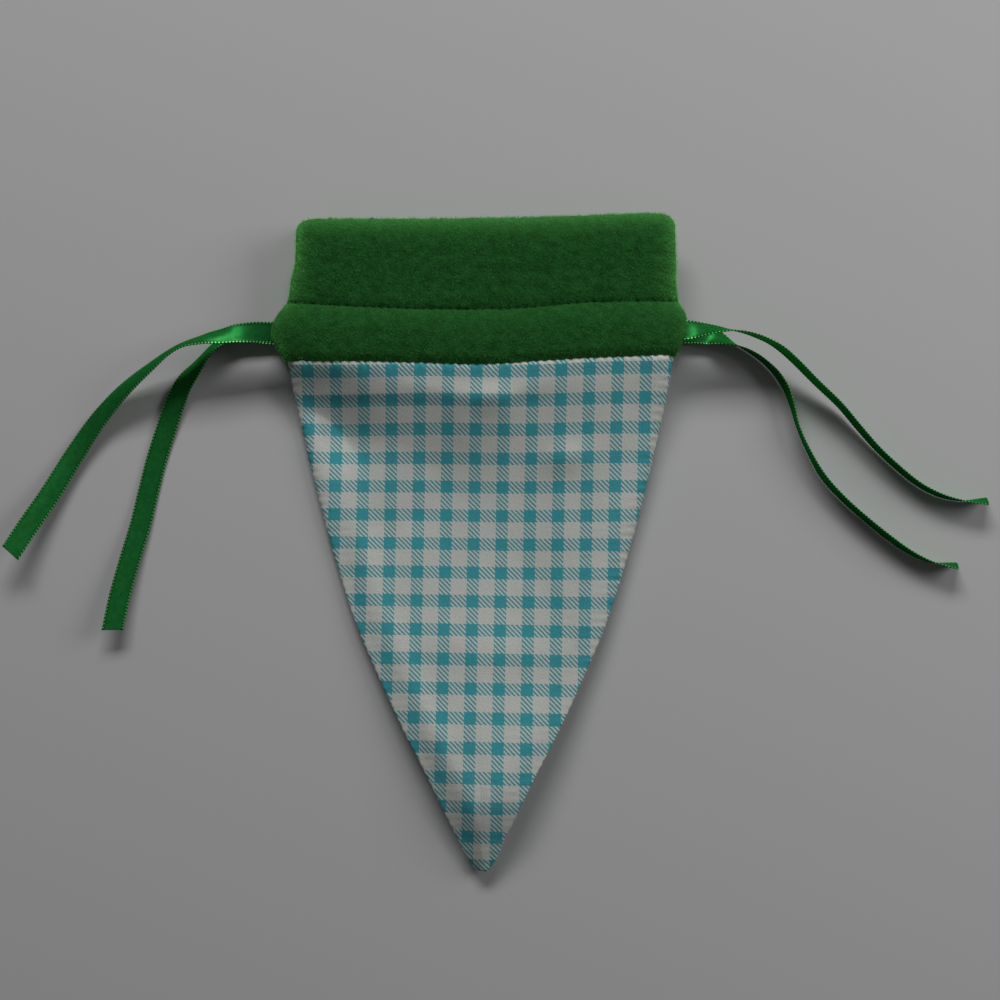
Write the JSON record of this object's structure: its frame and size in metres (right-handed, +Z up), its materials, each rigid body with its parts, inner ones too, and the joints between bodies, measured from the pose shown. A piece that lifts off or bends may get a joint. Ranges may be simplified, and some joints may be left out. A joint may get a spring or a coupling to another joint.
{
  "type": "fabric gift sack",
  "caption": "Flat-lying pointed drawstring gift sack: gingham cotton pouch with a green fleece casing and fold-over header, closed by satin ribbons drawn out at both sides.",
  "frame": {"origin": "centre of the sack's footprint, on the surface it lies on, ribbon tails left out", "axes": "+X to the right along the casings, +Y from the pointed tip to the mouth, +Z up out of the front panel"},
  "size_m": [0.2904, 0.1924, 0.0146],
  "materials": {
    "gingham_cotton": "matt printed plain-weave cotton, teal and off-white gingham",
    "green_fleece": "matt brushed polyester fleece with a short nap",
    "green_satin": "glossy satin ribbon with looped edges",
    "green_thread": "semi-matt polyester sewing thread",
    "white_thread": "semi-matt polyester sewing thread"
  },
  "bodies": {
    "sack": {"front_panel": "gingham_cotton", "back_panel": "gingham_cotton", "front_casing": "green_fleece", "back_casing": "green_fleece", "front_casing_stitching": "green_thread", "back_casing_stitching": "green_thread", "front_collar_seam": "white_thread", "back_collar_seam": "white_thread", "side_seam": "white_thread"},
    "front_header": {"front_header": "green_fleece"},
    "back_header": {"back_header": "green_fleece"},
    "front_drawstring": {"front_drawstring_run": "green_satin", "front_drawstring_left_tail": "green_satin", "front_drawstring_right_tail": "green_satin"},
    "back_drawstring": {"back_drawstring_run": "green_satin", "back_drawstring_left_tail": "green_satin", "back_drawstring_right_tail": "green_satin"}
  },
  "joints": [
    {"name": "front_header_fold", "type": "hinge", "parent": "sack", "child": "front_header", "pos_m": [0, 0.06965, 0.013], "axis": [1, 0, 0], "range_deg": [0, 120]},
    {"name": "back_header_fold", "type": "hinge", "parent": "sack", "child": "back_header", "pos_m": [0, 0.06965, 0], "axis": [-1, 0, 0], "range_deg": [0, 120]},
    {"name": "front_drawstring_pull", "type": "slide", "parent": "sack", "child": "front_drawstring", "axis": [1, 0, 0], "range_m": [0, 0.006]},
    {"name": "back_drawstring_pull", "type": "slide", "parent": "sack", "child": "back_drawstring", "axis": [-1, 0, 0], "range_m": [0, 0.006]}
  ]
}
